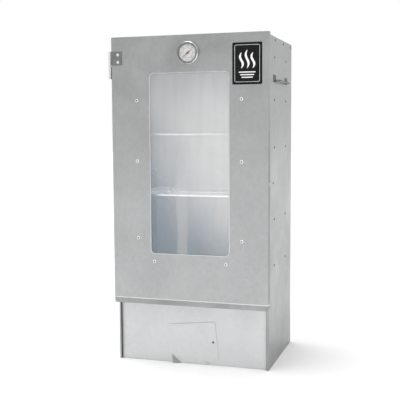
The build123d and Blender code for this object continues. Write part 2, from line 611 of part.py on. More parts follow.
# ---------------------------------------------------------------- flap over the base opening
def make_flap():
    """A loose plate on one rivet, with a finger tab folded out of its low corner."""
    y0, y1 = FLAP_Y
    cut = FLAP_CHAMFER
    plate = outline_y([(FLAP_LEFT, FLAP_TOP), (FLAP_RIGHT, FLAP_TOP), (FLAP_RIGHT, FLAP_LOW),
                       (FLAP_LEFT + cut, FLAP_LOW), (FLAP_LEFT, FLAP_LOW + cut)], y0, y1)
    plate = drilled_y(plate, [(0, 0)], y0, RIVET_SHANK + RUNNING_GAP)
    fold_half = cut / sqrt(2)
    corner = Polyline((-fold_half, 0), (fold_half, 0), (0, 0.92 * fold_half), close=True)
    root = cut / 2 + 0.7        # the tab starts a little inside the plate
    fold = Pos(FLAP_LEFT + root, y0, FLAP_LOW + root) * Rot(0, 45, 0) * Rot(FLAP_FOLD + 170, 0, 0)
    tab = fold * extrude(make_face(corner), FLAP_T)
    swing = Pos(FLAP_PIVOT_X, 0, FLAP_PIVOT_Z) * Rot(0, -FLAP_TILT, 0)
    add("access_flap", swing * (plate + tab))
    head_y = y0 - 0.3
    depth = BASE_Y + SHEET - head_y
    add("flap_pivot_rivet", turned([(0.9, -0.3), (0.9, -1.0), (2.6, -1.0), (3.8, 0), (RIVET_SHANK, 0),
                                    (RIVET_SHANK, depth), (3.0, depth), (3.0, depth + 2.5),
                                    (0, depth + 3.0), (0, -0.3)], FLAP_PIVOT_X, head_y, FLAP_PIVOT_Z))


# ---------------------------------------------------------------- heater
def make_heater():
    x, y = HEATER_X, HEATER_Y
    leg_x, leg_y, half = STAND_LEG
    corners = [(x + sx * leg_x, y + sy * leg_y, sy) for sx in (-1, 1) for sy in (-1, 1)]
    legs = [block(cx - half, cx + half, cy - sy * RAIL_T, cy, SHEET, STAND_Z) for cx, cy, sy in corners]
    feet = [block(cx - half, cx + half, cy, cy + sy * 10, SHEET, SHEET + RAIL_T) for cx, cy, sy in corners]
    top = block(x - leg_x - half, x + leg_x + half, y - leg_y, y + leg_y, STAND_Z - RAIL_T, STAND_Z)
    add("heater_stand", merged([top] + legs + feet))
    add("heater_housing", turned([(0, 0), (HOUSING_R - 10, 0), (HOUSING_R, HOUSING_H - 2),
                                  (HOUSING_R, HOUSING_H), (HOUSING_R - 12, HOUSING_H),
                                  (HOUSING_R - 18, HEATER_SEAT), (0, HEATER_SEAT)], x, y, STAND_Z, "z"))
    add("heater_plate", turned([(0, 0), (68, 0), (73, 13), (73, HEATER_PLATE_H - 1),
                                (72, HEATER_PLATE_H), (20, HEATER_PLATE_H), (19, HEATER_PLATE_H - 1),
                                (0, HEATER_PLATE_H - 1)], x, y, STAND_Z + HEATER_SEAT, "z"))
    duct = rod((x, y + 80, CONDUIT_Z), (x, TERMINAL_Y0, CONDUIT_Z), 6.0)
    add("heater_conduit", duct - Pos(x, y, CONDUIT_Z) * Cylinder(HOUSING_R + 0.2, 40))


# ---------------------------------------------------------------- trays
def open_tray(x, y, z, width, depth, height):
    """A sheet tray with a rim turned outwards all round."""
    hw, hd, rim = width / 2, depth / 2, 5.0
    hollow = block(x - hw + THIN, x + hw - THIN, y - hd + THIN, y + hd - THIN, z + THIN, z + height + 1)
    tray = block(x - hw, x + hw, y - hd, y + hd, z, z + height)
    ring = block(x - hw - rim, x + hw + rim, y - hd - rim, y + hd + rim, z + height - THIN, z + height)
    return tray + ring - hollow


def make_trays():
    add("chip_tray", open_tray(HEATER_X, CHIP_TRAY_Y, CHIP_TRAY_Z, *CHIP_TRAY))
    low = FLOOR_Z + SHEET
    pan_z = low + DRIP_PAN_LIFT
    pan = open_tray(0, 0, pan_z, *DRIP_PAN)
    feet = [block(sx * 140 - 8, sx * 140 + 8, sy * 112 - 0.6, sy * 112 + 0.6, low, pan_z + 0.5)
            for sx in (-1, 1) for sy in (-1, 1)]
    add("drip_pan", merged([pan] + feet))


# ---------------------------------------------------------------- rear electrics
def make_terminal_cover():
    x0, x1 = TERMINAL_X
    z0, z1 = CONTROL_Z - TERMINAL_HALF_H, CONTROL_Z + TERMINAL_HALF_H
    y0, y1 = TERMINAL_Y0, BACK_PANEL_Y
    cover = block(x0, x1, y0, y1, z0, z1)
    cover = cover - block(x0 + THIN, x1 - THIN, y0 + THIN, y1 + 1, z0 + THIN, z1 - THIN)
    skirt = block(HEATER_X - 14, HEATER_X + 14, y0, y0 + THIN, CONDUIT_Z - 10, z0 + THIN)
    add("terminal_cover", cover + skirt)


def make_inlet():
    y = BACK_FACE_Y
    flange = rounded_plate(INLET_X, CONTROL_Z, 50, 28, y, y + 2.5, 3.0)
    shell = block(*INLET_HOLE_X, y - 24, y + 2.5, *INLET_HOLE_Z)
    socket = rounded_plate(INLET_X, CONTROL_Z, 24, 17, y - 15, y + 5, 2.5)
    screws = [(x, CONTROL_Z) for x in INLET_SCREW_X]
    add("power_inlet", drilled_y(flange + shell - socket, screws, y, 1.5))
    blades = [(INLET_X - 7, CONTROL_Z - 2), (INLET_X, CONTROL_Z + 2.5), (INLET_X + 7, CONTROL_Z - 2)]
    add("inlet_pins", *[block(x - 1, x + 1, y - 15, y - 1, z - 2, z + 2) for x, z in blades])
    add("inlet_screws", *[pan_screw(x, y + 2.5, z, "-y", 8.0, 2.8, 1.5) for x, z in screws])


def make_switch():
    y = BACK_FACE_Y
    frame = rounded_plate(SWITCH_X, CONTROL_Z, 26, 33, y, y + 2.0, 2.0)
    frame = frame + block(*SWITCH_HOLE_X, y - 18, y + 2.0, *SWITCH_HOLE_Z)
    well = block(SWITCH_X - 8.5, SWITCH_X + 8.5, y - 9, y + 5, CONTROL_Z - 12.5, CONTROL_Z + 12.5)
    add("switch_frame", frame - well)
    rocker = outline_x([(0.6, -11.4), (0.6, 11.4), (-5.4, 6.0), (-5.4, -6.0)], SWITCH_X - 8.1,
                       SWITCH_X + 8.1)
    add("switch_rocker", Pos(0, y + 2.2, CONTROL_Z) * Rot(-ROCKER_TILT, 0, 0) * rocker)


def make_thermostat():
    x, y, z = THERMOSTAT_X, BACK_FACE_Y, CONTROL_Z
    add("thermostat", merged([disc(x, BACK_PANEL_Y - 26, BACK_PANEL_Y, z, 17.0),
                              disc(x, BACK_PANEL_Y, y + 2.0, z, THERMOSTAT_NECK_R),
                              disc(x, y + 2.0, y + 11.0, z, 3.0)]))
    bore = 3.0 + RUNNING_GAP
    knob = turned([(bore, 0), (16.5, 0), (16.5, 2.0), (15.0, 3.5), (14.0, 15.0), (12.5, 16.5),
                   (0, 16.5), (0, 9.5), (bore, 9.5)], x, y + 2.4, z)
    mark = block(x - 0.8, x + 0.8, y + 18.2, y + 19.6, z + 3, z + 12.5)
    add("thermostat_knob", knob + mark)


# ---------------------------------------------------------------- write the parts
def main():
    make_carcass()
    make_vent()
    make_racks()
    make_side_fittings()
    make_catch()
    make_door()
    make_hinge()
    make_thermometer()
    make_flap()
    make_heater()
    make_trays()
    make_terminal_cover()
    make_inlet()
    make_switch()
    make_thermostat()
    os.makedirs("parts", exist_ok=True)
    for name, solids in NODES.items():
        shape = solids[0] if len(solids) == 1 else Compound(children=[Part() + s for s in solids])
        export_step(shape, "parts/" + name + ".step")
    print(len(NODES), "nodes")


main()
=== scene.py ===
"""Electric cabinet smoker: materials, printed details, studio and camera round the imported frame."""
import json
import math

import bpy
from mathutils import Matrix, Vector


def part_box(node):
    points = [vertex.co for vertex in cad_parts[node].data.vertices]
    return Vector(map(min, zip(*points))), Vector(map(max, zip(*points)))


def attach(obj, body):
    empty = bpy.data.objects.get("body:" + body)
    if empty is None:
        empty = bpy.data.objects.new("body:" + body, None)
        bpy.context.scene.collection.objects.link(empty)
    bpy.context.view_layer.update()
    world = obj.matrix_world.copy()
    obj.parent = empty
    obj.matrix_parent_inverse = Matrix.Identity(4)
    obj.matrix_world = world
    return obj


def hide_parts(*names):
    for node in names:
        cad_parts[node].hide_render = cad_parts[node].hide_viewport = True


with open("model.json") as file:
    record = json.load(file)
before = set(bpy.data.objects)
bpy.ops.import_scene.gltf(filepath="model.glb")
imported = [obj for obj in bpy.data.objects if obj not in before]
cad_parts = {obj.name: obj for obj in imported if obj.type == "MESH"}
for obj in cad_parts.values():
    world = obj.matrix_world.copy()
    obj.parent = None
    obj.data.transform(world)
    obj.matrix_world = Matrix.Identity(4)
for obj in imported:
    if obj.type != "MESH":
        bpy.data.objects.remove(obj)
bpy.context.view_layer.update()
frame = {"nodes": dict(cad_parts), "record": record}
NODES = frame["nodes"]
MM = 0.001

# ---------------------------------------------------------------- camera and studio
CAMERA_PLACE = (0.7352, -2.4300, 0.7266)
CAMERA_YAW = 17.38              # degrees to the left of +Y
CAMERA_PITCH = 5.24             # degrees below the horizon
CAMERA_ROLL = -0.34
CAMERA_LENS = 70.96             # mm
SENSOR_WIDTH = 36.0             # mm

FLOOR_SIZE = 40.0
FLOOR_TONE = 0.88
SKY_BEHIND = 1.0                # brightness of the surroundings behind the object
SKY_FRONT = 0.27                # on the viewer's side
SKY_RIGHT = 0.48                # and to the right, as a share of the rest
SKY_ABOVE = 0.80                # high up on every side
FRONT_FADE = (-0.9, 0.3)        # where the front fades into the back, as a direction's Y
RIGHT_FADE = (-0.05, 0.45)      # where the left fades into the right, as its X
ABOVE_FADE = (0.30, 0.65)       # where the sides fade into what is above, as its Z
SUN_STRENGTH = 1.75
SUN_PLACE = (-1.0, -0.5, 3.0)   # only its direction counts
SUN_SPREAD = 70.0               # degrees
KEY_POWER = 24.0
KEY_PLACE = (1.6, -2.4, 2.4)
KEY_SIZE = 1.2
KEY_TARGET = (0.0, -0.19, 0.6)
INSIDE_POWER = 1.0              # the light that comes in at the window
INSIDE_Y = -0.158               # it starts between the pane and the racks
INSIDE_SIZE = (0.24, 0.54)      # width and height
FLOOR_DROP = 0.5 * MM           # the floor lies this far under the object

# ---------------------------------------------------------------- places taken from the frame
DOOR_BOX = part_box("door_skin")
LIP_FLARE = 6 * MM              # how far the door's lip stands in front of its face
LIP_HEIGHT = 15.5 * MM
DOOR_FRONT = DOOR_BOX[0].y + LIP_FLARE
FOLD_Z = DOOR_BOX[0].z + LIP_HEIGHT
RETURN_SHADE = (0.55, 0.93)      # painted shade darkens the door's right return below these heights
RACK_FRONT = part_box("rack_lower")[0].y
RACK_SPLIT = (0.59, 0.61)       # heights between the two racks
BARREL_WALL = 2.5 * MM          # the hinge's barrel round its pin
BARREL_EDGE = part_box("hinge_pin")[1].x + BARREL_WALL
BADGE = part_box("badge_plate")
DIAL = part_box("thermometer_dial")
DIAL_CENTRE = (DIAL[0] + DIAL[1]) / 2
DIAL_START = 225.0              # degrees clockwise from the top, at the lowest figure
DIAL_SWEEP = 270.0              # degrees from the lowest figure to the highest
DIAL_TICKS = 60
DIAL_FIGURES = 7
DIAL_STEP = 50                  # degrees of heat between one figure and the next
PINK_EDGE = (15.0 * MM, 15.8 * MM)       # the dial's pink middle ends between these radii
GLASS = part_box("window_glass")
GLASS_SIDE_LAP = 24.5 * MM      # how far the pane reaches past the window
GLASS_END_LAP = 16.0 * MM
GLASS_REFLECTED_BAND = 0.42               # a painted reflection, a paler upright band in its lower half: where it stands, as a share of its width
PRINT = 0.05 * MM               # how far print stands proud of what it is on
CAPITAL_SHARE = 0.7             # a capital's height as a share of its font size
ROCKER_TILT = 7.0               # degrees, at rest
ROCKER_HALF = 11.4 * MM         # half the length of the rocker's face
MANDREL_R = 2.3 * MM
MANDREL_DEPTH = 0.6 * MM        # how far the stub reaches into the rivet's dome
MANDREL_PROUD = 0.08 * MM       # and how far it stands out
MANDREL_SIDES = 14
CRYSTALS = 95.0                 # zinc crystals in a metre
FINE_GRAIN = 500.0              # plating's grain, in a metre


# ---------------------------------------------------------------- node helpers
def grey(level):
    return (level,) * 3


def zinc_grey(level):
    """A grey that leans a little towards blue."""
    return (level, level + 0.005, level + 0.010)


class Nodes:
    """Short ways to add and link the nodes of a tree."""

    def __init__(self, tree):
        self.tree = tree

    def add(self, kind, **properties):
        made = self.tree.nodes.new(kind)
        for key, value in properties.items():
            setattr(made, key, value)
        return made

    def feed(self, socket, value):
        """Link an output, or set a plain value."""
        if isinstance(value, bpy.types.NodeSocket):
            self.tree.links.new(value, socket)
        elif isinstance(value, tuple) and len(value) == 3 and socket.type == "RGBA":
            socket.default_value = (*value, 1.0)
        else:
            socket.default_value = value

    def part(self, vector, axis):
        """A vector's X, Y or Z."""
        parts = self.add("ShaderNodeSeparateXYZ")
        self.feed(parts.inputs["Vector"], vector)
        return parts.outputs[axis]

    def spread(self, value, low, high, start=0.3, end=0.7, smooth=False):
        """Map start..end of a value on to low..high."""
        remap = self.add("ShaderNodeMapRange")
        remap.interpolation_type = "SMOOTHSTEP" if smooth else "LINEAR"
        self.feed(remap.inputs["Value"], value)
        for name, number in (("From Min", start), ("From Max", end), ("To Min", low), ("To Max", high)):
            remap.inputs[name].default_value = number
        return remap.outputs["Result"]

    def math(self, operation, a, b=0.0):
        made = self.add("ShaderNodeMath", operation=operation)
        self.feed(made.inputs[0], a)
        self.feed(made.inputs[1], b)
        return made.outputs[0]


class Look(Nodes):
    """A procedural material, built up from small helpers. Its coordinates are the row frame's."""

    def __init__(self, name, **sockets):
        self.material = bpy.data.materials.new(name)
        self.material.use_nodes = True
        super().__init__(self.material.node_tree)
        self.shader = self.tree.nodes["Principled BSDF"]
        self.place = self.add("ShaderNodeTexCoord").outputs["Object"]
        self.normal = None
        for key, value in sockets.items():
            self.put(key.replace("_", " "), value)

    def put(self, name, value):
        """Feed one of the shader's sockets, by its name in any case."""
        names = {socket.name.lower(): socket for socket in self.shader.inputs}
        self.feed(names[name.lower()], value)

    def scaled(self, stretch):
        mapping = self.add("ShaderNodeMapping")
        self.feed(mapping.inputs["Vector"], self.place)
        mapping.inputs["Scale"].default_value = stretch
        return mapping.outputs["Vector"]

    def noise(self, scale, detail=4.0, stretch=(1, 1, 1), distortion=0.0):
        texture = self.add("ShaderNodeTexNoise")
        self.feed(texture.inputs["Vector"], self.scaled(stretch))
        texture.inputs["Scale"].default_value = scale
        texture.inputs["Detail"].default_value = detail
        texture.inputs["Distortion"].default_value = distortion
        return texture.outputs["Fac"]

    def cells(self, scale, output="Distance"):
        texture = self.add("ShaderNodeTexVoronoi")
        self.feed(texture.inputs["Vector"], self.place)
        texture.inputs["Scale"].default_value = scale
        return texture.outputs[output]

    def brightness(self, colour):
        made = self.add("ShaderNodeRGBToBW")
        self.feed(made.inputs["Color"], colour)
        return made.outputs["Val"]

    def along(self, axis):
        return self.part(self.place, axis)

    def faces_up(self):
        """How far the surface faces up or down, 0 on upright sheet."""
        normal = self.add("ShaderNodeNewGeometry").outputs["Normal"]
        return self.math("ABSOLUTE", self.part(normal, "Z"))

    def mix(self, amount, a, b, blend="MIX"):
        made = self.add("ShaderNodeMix", data_type="RGBA", blend_type=blend)
        self.feed(made.inputs["Factor"], amount)
        self.feed(made.inputs[6], a)
        self.feed(made.inputs[7], b)
        return made.outputs[2]

    def bump(self, height, distance, strength):
        """Add surface relief, distance metres deep, on top of any relief already there."""
        made = self.add("ShaderNodeBump")
        self.feed(made.inputs["Height"], height)
        made.inputs["Distance"].default_value = distance
        made.inputs["Strength"].default_value = strength
        if self.normal:
            self.feed(made.inputs["Normal"], self.normal)
        self.normal = made.outputs["Normal"]
        self.put("Normal", self.normal)


# ---------------------------------------------------------------- materials
def zinc_sheet(name, dark, light, rough=(0.34, 0.46), foot=1.0, extra=None, metallic=1.0):
    """Rolled, zinc-coated sheet: faint crystals, roll grain, slight waviness and soft smudges.

    Its colour drifts between the levels dark and light. Painted shade darkens it towards the ground,
    down to the share foot of its brightness at the top. The function extra, where given, adds painted
    shade or highlight of its own.
    """
    dark, light = zinc_grey(dark), zinc_grey(light)
    look = Look(name, metallic=metallic)
    clouds = look.noise(4.0, detail=3.0)
    crystals = look.brightness(look.cells(CRYSTALS, output="Color"))
    flecks = look.noise(260.0, detail=3.0)
    tone = look.mix(look.spread(clouds, 0.25, 0.75), dark, light)
    tone = look.mix(0.055, tone, crystals, "OVERLAY")
    tone = look.mix(look.spread(flecks, 0.0, 0.10, 0.45, 0.75), tone, light)
    # painted shade: darker towards the ground
    if foot < 1.0:
        height = look.math("ADD", look.along("Z"), look.spread(clouds, -0.06, 0.06))
        tone = look.mix(look.spread(height, 1.0, 0.0, 0.1, 0.9), tone, grey(foot), "MULTIPLY")
    if extra:
        tone = extra(look, tone)
    look.put("Base Color", tone)
    smudges = look.noise(9.0, detail=6.0, distortion=0.6)
    fine = look.noise(140.0, detail=2.0)
    dull = look.spread(smudges, *rough)
    look.put("Roughness", look.math("ADD", dull, look.spread(fine, -0.02, 0.03)))
    look.bump(look.noise(3.2, detail=1.0), 0.004, 0.35)
    look.bump(look.noise(900.0, detail=2.0, stretch=(1, 1, 0.04)), 0.00004, 0.5)
    look.bump(look.cells(CRYSTALS), 0.00003, 0.25)
    return look.material


def door_marks(look, tone):
    """Painted shade darkens the door's right return below its top, and a painted highlight brightens the
    fold over its lip.
    """
    edge = DOOR_BOX[1].x
    # painted shade on the right return, and a painted highlight along the lip's fold
    on_return = look.spread(look.along("X"), 0.0, 1.0, edge - 0.4 * MM, edge - 0.2 * MM)
    low_down = look.spread(look.along("Z"), 1.0, 0.0, *RETURN_SHADE, smooth=True)
    tone = look.mix(look.math("MULTIPLY", on_return, low_down), tone, grey(0.27))
    from_fold = look.math("ABSOLUTE", look.math("SUBTRACT", look.along("Z"), FOLD_Z))
    fold_highlight = look.spread(from_fold, 1.0, 0.0, 0.6 * MM, 1.8 * MM)
    return look.mix(fold_highlight, tone, grey(0.88))


def flap_marks(look, tone):
    """Painted shade darkens the corner that is folded out."""
    return look.mix(look.spread(look.faces_up(), 0.0, 1.0, 0.15, 0.3), tone, grey(0.30))


def plating(name, metallic, rough, coloured, grain=FINE_GRAIN):
    """A plated surface with a fine grain and uneven dullness.

    The function coloured makes its colour from the look and the patches of dullness.
    """
    look = Look(name, metallic=metallic)
    patches = look.noise(70.0)
    look.put("Base Color", coloured(look, patches))
    look.put("Roughness", look.spread(patches, *rough))
    look.bump(look.noise(grain, detail=3.0), 0.00003, 0.4)
    return look.material


def hinge_metal():
    """Zinc plating, with the barrel painted near white as a painted highlight."""
    def coloured(look, patches):
        # painted highlight: the barrel near white, the leaf beside it grey
        barrel = look.spread(look.along("X"), 1.0, 0.0, BARREL_EDGE - 1.0 * MM, BARREL_EDGE)
        leaf = look.mix(patches, (0.22, 0.222, 0.225), (0.30, 0.302, 0.305))
        return look.mix(barrel, leaf, grey(1.0))

    return plating("hinge_look", 0.4, (0.14, 0.26), coloured)


def rack_plating():
    """Bright plated wire, darker along each rack's front rod, most of all on the upper rack."""
    def coloured(look, patches):
        front = look.spread(look.along("Y"), 1.0, 0.0, RACK_FRONT + 5 * MM, RACK_FRONT + 7 * MM)
        upper = look.spread(look.along("Z"), 0.0, 1.0, *RACK_SPLIT)
        return look.mix(front, grey(0.98), look.mix(upper, grey(0.58), grey(0.30)))

    return plating("wire_look", 0.15, (0.26, 0.40), coloured)


def plated(name, colour, rough, grain=FINE_GRAIN, metallic=1.0):
    """Plated or plain small steel."""
    dark = tuple(0.82 * c for c in colour)

    def coloured(look, patches):
        return look.mix(look.spread(patches, 0.0, 0.8), colour, dark)

    return plating(name, metallic, (rough, rough + 0.14), coloured, grain)


def moulded(name, colour, rough):
    """Moulded plastic or rubber: a fine even texture and slight handling marks."""
    look = Look(name)
    marks = look.noise(35.0, detail=5.0)
    worn = tuple(min(1.0, 1.25 * c + 0.012) for c in colour)
    look.put("Base Color", look.mix(look.spread(marks, 0.0, 0.6), colour, worn))
    look.put("Roughness", look.spread(marks, rough - 0.05, rough + 0.10))
    look.bump(look.cells(1500.0), 0.00004, 0.35)
    return look.material


def cast_iron():
    """The hotplate's iron: dark, gritty and a little brown."""
    look = Look("cast_iron_look", metallic=0.6)
    grit = look.noise(650.0, detail=6.0)
    look.put("Base Color", look.mix(look.noise(30.0), (0.035, 0.034, 0.033), (0.075, 0.068, 0.062)))
    look.put("Roughness", look.spread(grit, 0.55, 0.78))
    look.bump(grit, 0.0002, 0.6)
    return look.material


def enamel():
    """The heater's enamel, stained by heat."""
    look = Look("heat_enamel_look", coat_weight=0.25, coat_roughness=0.3)
    stains = look.noise(22.0, detail=5.0)
    black, stained = (0.06, 0.06, 0.065), (0.12, 0.105, 0.095)
    look.put("Base Color", look.mix(look.spread(stains, 0.0, 1.0), black, stained))
    look.put("Roughness", look.spread(stains, 0.34, 0.55))
    look.bump(look.noise(420.0, detail=3.0), 0.00005, 0.5)
    return look.material


def stained_tray():
    """Thin tray steel with a little brown from heat and smoke."""
    look = Look("tray_look", metallic=1.0)
    stains = look.noise(14.0, detail=6.0, distortion=1.2)
    steel, brown = (0.60, 0.60, 0.59), (0.42, 0.35, 0.27)
    look.put("Base Color", look.mix(look.spread(stains, 0.0, 0.85, 0.42, 0.75), steel, brown))
    look.put("Roughness", look.spread(stains, 0.36, 0.60))
    look.bump(look.noise(500.0, detail=2.0, stretch=(0.05, 1, 1)), 0.00003, 0.5)
    return look.material


def smoked_glass():
    """The door's pane: a streaky pale film that can be seen through.

    Painted reflections make it bluer and darker low on the left, greyer at the top, and give it a paler
    band in its lower half.
    """
    look = Look("window_glass_look", roughness=0.07, ior=1.5, coat_weight=0.3, coat_roughness=0.03)
    low, high = GLASS
    across = look.spread(look.along("X"), 0.0, 1.0, low.x, high.x)
    up = look.spread(look.along("Z"), 0.0, 1.0, low.z, high.z)
    drift = look.spread(look.noise(5.0, detail=2.0, stretch=(1, 1, 0.5)), -0.12, 0.12)
    away = look.math("ADD", look.math("MULTIPLY", across, 0.75), look.math("MULTIPLY", up, 1.15))
    # painted reflection: bluer and darker low on the left
    blue = look.math("SUBTRACT", 1.0, away)
    blue = look.math("ADD", blue, look.math("ADD", drift, 0.12))
    blue = look.spread(blue, 0.0, 1.0, 0.0, 0.8, smooth=True)
    tone = look.mix(blue, (0.78, 0.785, 0.79), (0.30, 0.37, 0.43))
    height = look.math("ADD", up, look.math("MULTIPLY", drift, 0.8))
    # painted reflection: greyer towards the top
    top = look.spread(height, 0.0, 0.65, 0.72, 1.0, smooth=True)
    tone = look.mix(top, tone, (0.57, 0.58, 0.60))
    # painted reflection: a paler upright band in the lower half
    off_band = look.math("ABSOLUTE", look.math("SUBTRACT", across, GLASS_REFLECTED_BAND))
    band = look.math("MULTIPLY", look.spread(off_band, 0.6, 0.0, 0.03, 0.08, smooth=True),
                     look.spread(up, 1.0, 0.0, 0.44, 0.50, smooth=True))
    look.put("Base Color", look.mix(band, tone, (0.70, 0.71, 0.72)))
    streaks = look.noise(30.0, detail=5.0, stretch=(1, 1, 0.12), distortion=0.4)
    look.put("Alpha", look.spread(streaks, 0.37, 0.43))
    return look.material


def lens_glass():
    """The thermometer's lens, slightly smeared."""
    look = Look("lens_glass_look", base_color=(0.96, 0.97, 0.98), ior=1.5, coat_weight=0.5)
    smears = look.noise(60.0, detail=4.0, distortion=0.8)
    look.put("Roughness", look.spread(smears, 0.03, 0.10))
    look.put("Alpha", look.spread(smears, 0.06, 0.13))
    return look.material


def dial_face():
    """White enamelled dial, faintly pink inside its inner ring."""
    look = Look("dial_look", roughness=0.35, coat_weight=0.4)
    offset = look.add("ShaderNodeVectorMath", operation="DISTANCE")
    look.feed(offset.inputs[0], look.place)
    offset.inputs[1].default_value = DIAL_CENTRE
    inner = look.spread(offset.outputs["Value"], 1.0, 0.0, *PINK_EDGE)
    freckles = look.noise(300.0, detail=3.0)
    paper = look.mix(look.spread(freckles, 0.0, 0.5), (0.74, 0.73, 0.72), (0.68, 0.665, 0.66))
    look.put("Base Color", look.mix(inner, paper, (0.73, 0.66, 0.65)))
    return look.material


def print_ink(name, colour):
    """Ink or paint, a little worn."""
    look = Look(name, roughness=0.5)
    wear = look.noise(240.0, detail=3.0)
    faded = tuple(0.8 * c + 0.03 for c in colour)
    look.put("Base Color", look.mix(look.spread(wear, 0.0, 0.6), colour, faded))
    return look.material


def badge_plate_look():
    """Black lacquer, a little dusty."""
    look = Look("badge_look", coat_weight=0.05, coat_roughness=0.12, specular_ior_level=0.25)
    dust = look.noise(90.0, detail=5.0)
    black, dusty = (0.004, 0.004, 0.005), (0.012, 0.012, 0.013)
    look.put("Base Color", look.mix(look.spread(dust, 0.0, 0.5), black, dusty))
    look.put("Roughness", look.spread(dust, 0.28, 0.42))
    look.bump(look.noise(700.0, detail=2.0), 0.00002, 0.4)
    return look.material


GALVANISED = zinc_sheet("galvanised_look", 0.515, 0.605)
# the door darkens towards the ground: painted shade; its return and lip's fold get painted shade and
# highlight
DOOR_SHEET = zinc_sheet("door_sheet_look", 0.515, 0.605, foot=0.84, extra=door_marks)
INNER_SHEET = zinc_sheet("inner_sheet_look", 0.56, 0.64, (0.58, 0.70), metallic=0.75)
# paler like the base's front: painted light from the floor; its folded-out corner gets painted shade
FLAP_SHEET = zinc_sheet("flap_sheet_look", 0.65, 0.74, (0.40, 0.52), extra=flap_marks)
# darker rivets: painted shade on the rivets of the sides and the flap's pivot
SHADED_RIVET = plated("shaded_rivet_look", (0.28, 0.28, 0.285), 0.40)
# near-black mandrel stubs: painted shade of the holes in the rivets' domes
MANDREL_SHADE_LOOK = plated("mandrel_shade_look", (0.035, 0.035, 0.037), 0.5)
# paler copy of the sheet for the base's front: painted light from the bright floor
FLOOR_LIT_SHEET = zinc_sheet("floor_lit_sheet_look", 0.65, 0.74, (0.40, 0.52))
# the sides darken towards the ground: painted shade
SIDE_SHEET = zinc_sheet("side_sheet_look", 0.54, 0.62, foot=0.62)
TOP_SHEET = zinc_sheet("top_sheet_look", 0.36, 0.43, (0.40, 0.50))
NODE_LOOKS = {
    "top_panel": TOP_SHEET,
    "vent_damper": GALVANISED,
    "base_front_panel": FLOOR_LIT_SHEET,
    "access_flap": FLAP_SHEET,
    "door_skin": DOOR_SHEET,
    "back_panel": INNER_SHEET,
    "left_side_panel": SIDE_SHEET,
    "right_side_panel": SIDE_SHEET,
    "side_rivets_left": SHADED_RIVET,
    "side_rivets_right": SHADED_RIVET,
    "flap_pivot_rivet": SHADED_RIVET,
    "hinge_door_screws": plated("hinge_screw_look", grey(0.92), 0.22, metallic=0.5),
}
LOOKS = {
    "galvanised_steel": GALVANISED,
    # pure white and barely metallic: a painted highlight on the aluminium rivet heads
    "rivet_aluminium": plated("rivet_highlight_look", grey(1.0), 0.30, metallic=0.2),
    "zinc_hinge": hinge_metal(),
    # dark: painted shade of a handle that is seen from below
    "handle_steel": plated("handle_shade_look", zinc_grey(0.20), 0.34),
    "magnet": moulded("magnet_look", (0.05, 0.05, 0.055), 0.6),
    "heater_enamel": enamel(),
    "heater_iron": cast_iron(),
    "conduit_steel": plated("conduit_look", (0.62, 0.63, 0.64), 0.28),
    "tray_steel": stained_tray(),
    "black_plastic": moulded("black_plastic_look", (0.022, 0.022, 0.023), 0.42),
    "thermostat_body": moulded("cream_plastic_look", (0.58, 0.54, 0.43), 0.5),
    "contact_brass": plated("brass_look", (0.80, 0.62, 0.30), 0.25),
    "small_screws": plated("screw_look", (0.74, 0.75, 0.76), 0.25),
    "window_glass": smoked_glass(),
    "seal_rubber": moulded("seal_look", grey(0.03), 0.75),
    "badge_black": badge_plate_look(),
    "chrome": plated("chrome_look", (0.90, 0.91, 0.92), 0.06, grain=900.0),
    "thermometer_steel": plated("case_look", (0.66, 0.67, 0.68), 0.25),
    "dial_white": dial_face(),
    "lens_glass": lens_glass(),
    "pointer_black": print_ink("pointer_look", (0.045, 0.045, 0.048)),
    "rack_wire": rack_plating(),
}


# ---------------------------------------------------------------- CAD nodes that stay
def dress_nodes():
    """Every CAD node gets its own look if it has one, or else its slot's."""
    for entry in frame["record"]["subparts"]:
        node = NODES[entry["node"]]
        for slot in node.material_slots:
            slot.material = NODE_LOOKS.get(entry["node"], LOOKS[entry["material_slot"]])


def soften(names, width, angle=35.0):
    """Small rounded edges, which catch the light."""
    for name in names:
        bevel = NODES[name].modifiers.new("soft_edges", "BEVEL")
        bevel.width = width
        bevel.segments = 2
        bevel.limit_method = "ANGLE"
        bevel.angle_limit = math.radians(angle)
        bevel.harden_normals = True
        bevel.use_clamp_overlap = True


# ---------------------------------------------------------------- mesh helpers
def new_object(name, data):
    made = bpy.data.objects.new(name, data)
    bpy.context.scene.collection.objects.link(made)
    return made


def piece(name, shape, look, body):
    """A mesh object that rides on a body."""
    mesh = bpy.data.meshes.new(name)
    mesh.from_pydata([tuple(v) for v in shape.vertices], [], shape.faces)
    mesh.validate()
    mesh.materials.append(look)
    made = new_object(name, mesh)
    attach(made, body)
    return made


def at_depth(outline, y):
    """An (x, z) outline as points at one depth."""
    return [Vector((x, y, z)) for x, z in outline]


class Shape:
    """Collects closed prisms and flat figures into one list of vertices and faces."""

    def __init__(self):
        self.vertices, self.faces = [], []

    def join(self, vertices, faces):
        """Add vertices, and faces that count them from 0."""
        start = len(self.vertices)
        self.vertices += vertices
        self.faces += [[start + k for k in face] for face in faces]

    def prism(self, back, front):
        """Join two matching closed outlines, both counter-clockwise seen from the front one."""
        start, count = len(self.vertices), len(back)
        self.vertices += [*back, *front]
        self.faces.append([start + k for k in reversed(range(count))])
        self.faces.append([start + count + k for k in range(count)])
        for k in range(count):
            after = (k + 1) % count
            self.faces.append([start + k, start + after, start + count + after, start + count + k])

    def plate(self, outline, y_back, y_front):
        """A flat plate facing -Y, from an (x, z) outline that runs counter-clockwise seen from there."""
        self.prism(at_depth(outline, y_back), at_depth(outline, y_front))

    def ring(self, outer, inner, y_back, y_front):
        """A flat frame between two matching outlines, facing -Y."""
        count = len(outer)
        for k in range(count):
            after = (k + 1) % count
            self.plate([outer[k], outer[after], inner[after], inner[k]], y_back, y_front)


